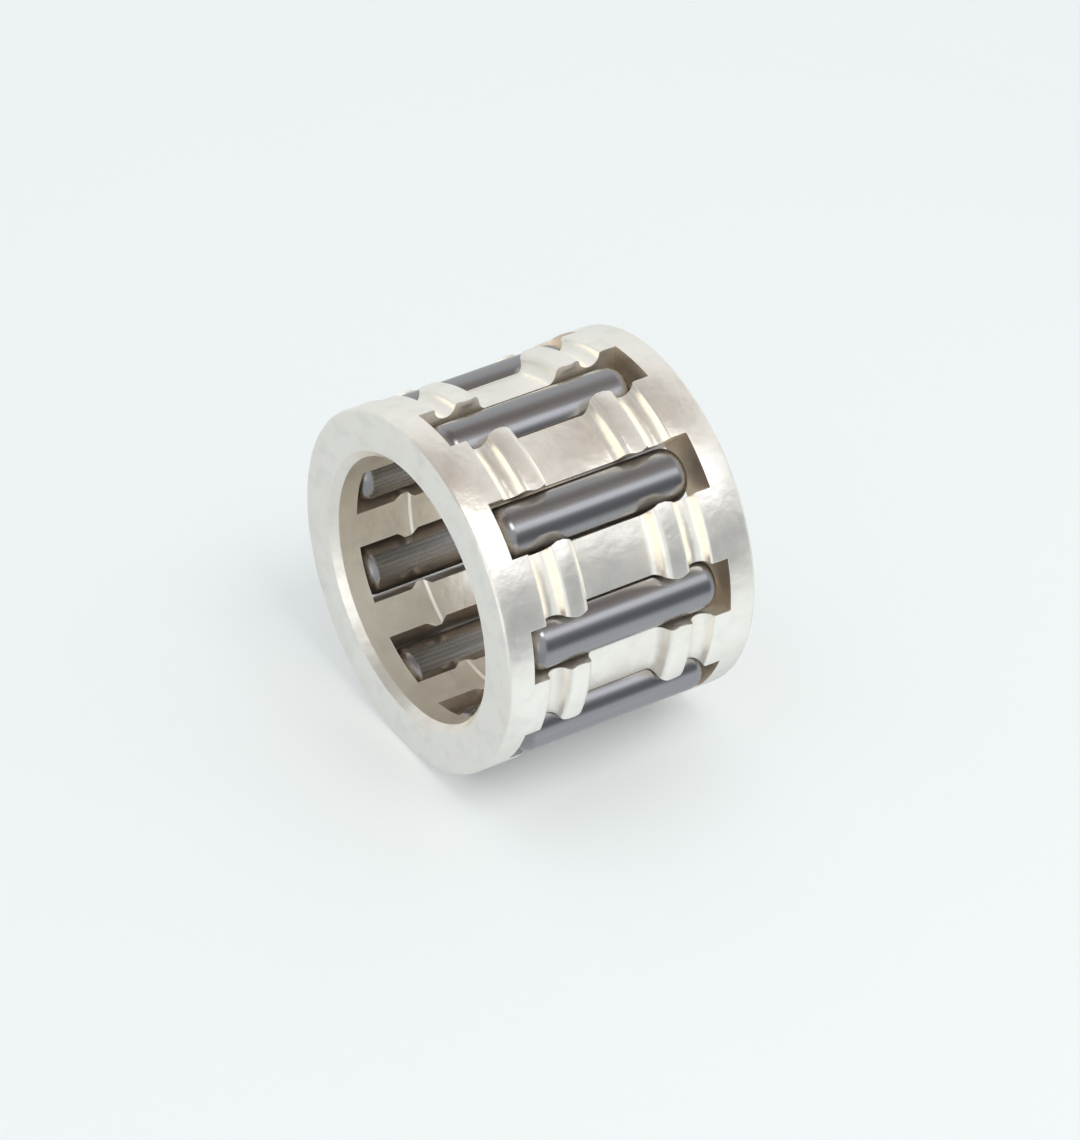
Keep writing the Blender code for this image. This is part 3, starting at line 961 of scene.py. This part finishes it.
def add_camera(stage):
    """The camera at the photograph's angle, looking at the aim."""
    aim = Vector((0, stage.aim_across, stage.aim_height))
    flat = Vector((math.sin(stage.azimuth), -math.cos(stage.azimuth), 0))
    direction = flat * math.cos(stage.elevation) + Vector((0, 0, math.sin(stage.elevation)))
    data = bpy.data.cameras.new("camera")
    data.lens = stage.lens
    data.clip_start = 10 * MM
    camera = bpy.data.objects.new("camera", data)
    camera.location = aim + direction * stage.distance
    turn = (-direction).to_track_quat("-Z", "Y").to_matrix() @ Matrix.Rotation(stage.roll, 3, "Z")
    camera.rotation_euler = turn.to_euler()
    bpy.context.collection.objects.link(camera)
    bpy.context.scene.camera = camera


# Lamps: direction from the bearing, distance, side, brightness, colour, and whether the metal mirrors them.
LAMPS = (
    ("key", Vector((0.84, -0.35, 0.03)), 260 * MM, 96 * MM, 5.0, (1.0, 0.99, 0.97), True),
    ("ceiling", Vector((0.50, -0.84, -0.25)), 270 * MM, 160 * MM, 0.4, (1.0, 0.98, 0.96), False),
    ("overhead", Vector((0.1, -0.1, 1)), 270 * MM, 160 * MM, 0.4, (1.0, 0.98, 0.96), False),
    ("window", Vector((0.888, -0.109, 0.445)), 270 * MM, 160 * MM, 0.4, (1.0, 0.98, 0.96), False),
)


class BEARING_OT_stage(bpy.types.Operator):
    """Set up the floor, the table beside the bearing, the soft lamps and the camera"""
    bl_idname = "bearing.stage"
    bl_label = "Stage"

    def execute(self, context):
        stage = context.scene.bearing_stage
        cage = context.scene.bearing_cage
        down = Vector((math.cos(stage.rest_angle), math.sin(stage.rest_angle), 0))
        table_turn = (-down).to_track_quat("Z", "Y").to_matrix()
        along_table = down.cross(Vector((0, 0, 1)))
        table_top = one_sided_surface("table top", stage.floor, stage.table_evenness, along_table)
        floor_top = one_sided_surface("floor top", stage.floor, stage.floor_evenness, along_table)
        middle = Vector((0, 0, cage.length / 2))
        table = add_surface("table", table_top, table_turn, middle + down * (cage.outer_radius + SHEET_GAP))
        table.visible_diffuse = False
        floor = add_surface("floor", floor_top, Matrix.Identity(3), Vector((0, 0, -SHEET_GAP)))
        floor.visible_diffuse = False
        floor.visible_glossy = False
        floor.visible_transmission = False
        floor.visible_shadow = False
        for name, direction, distance, side, brightness, tint, mirrored in LAMPS:
            lamp = add_softbox(name, direction, middle, distance, side, brightness, tint)
            lamp.visible_glossy = mirrored
        light_world(stage, -down)
        add_camera(stage)
        context.scene.view_settings.view_transform = "Standard"
        return {"FINISHED"}


class BEARING_PT_panel(bpy.types.Panel):
    """Buttons that model the bearing and set up its stage"""
    bl_idname = "BEARING_PT_panel"
    bl_label = "Needle Bearing"
    bl_space_type = "VIEW_3D"
    bl_region_type = "UI"
    bl_category = "Needle Bearing"

    def draw(self, context):
        column = self.layout.column(align=True)
        column.operator("bearing.cage")
        column.operator("bearing.needles")
        column.operator("bearing.stage")


CLASSES = (
    CageSettings,
    PocketSettings,
    NeedleSettings,
    StageSettings,
    BEARING_OT_cage,
    BEARING_OT_needles,
    BEARING_OT_stage,
    BEARING_PT_panel,
)


def register():
    """Registers the classes and hangs the settings on the scene."""
    for cls in CLASSES:
        bpy.utils.register_class(cls)
    bpy.types.Scene.bearing_cage = PointerProperty(type=CageSettings)
    bpy.types.Scene.bearing_pocket = PointerProperty(type=PocketSettings)
    bpy.types.Scene.bearing_needle = PointerProperty(type=NeedleSettings)
    bpy.types.Scene.bearing_stage = PointerProperty(type=StageSettings)


def unregister():
    """Takes the settings and the classes away again."""
    del bpy.types.Scene.bearing_stage
    del bpy.types.Scene.bearing_needle
    del bpy.types.Scene.bearing_pocket
    del bpy.types.Scene.bearing_cage
    for cls in reversed(CLASSES):
        bpy.utils.unregister_class(cls)


def main():
    """Makes every piece and the stage."""
    register()
    bpy.ops.bearing.cage()
    bpy.ops.bearing.needles()
    bpy.ops.bearing.stage()


if __name__ == "__main__":
    main()
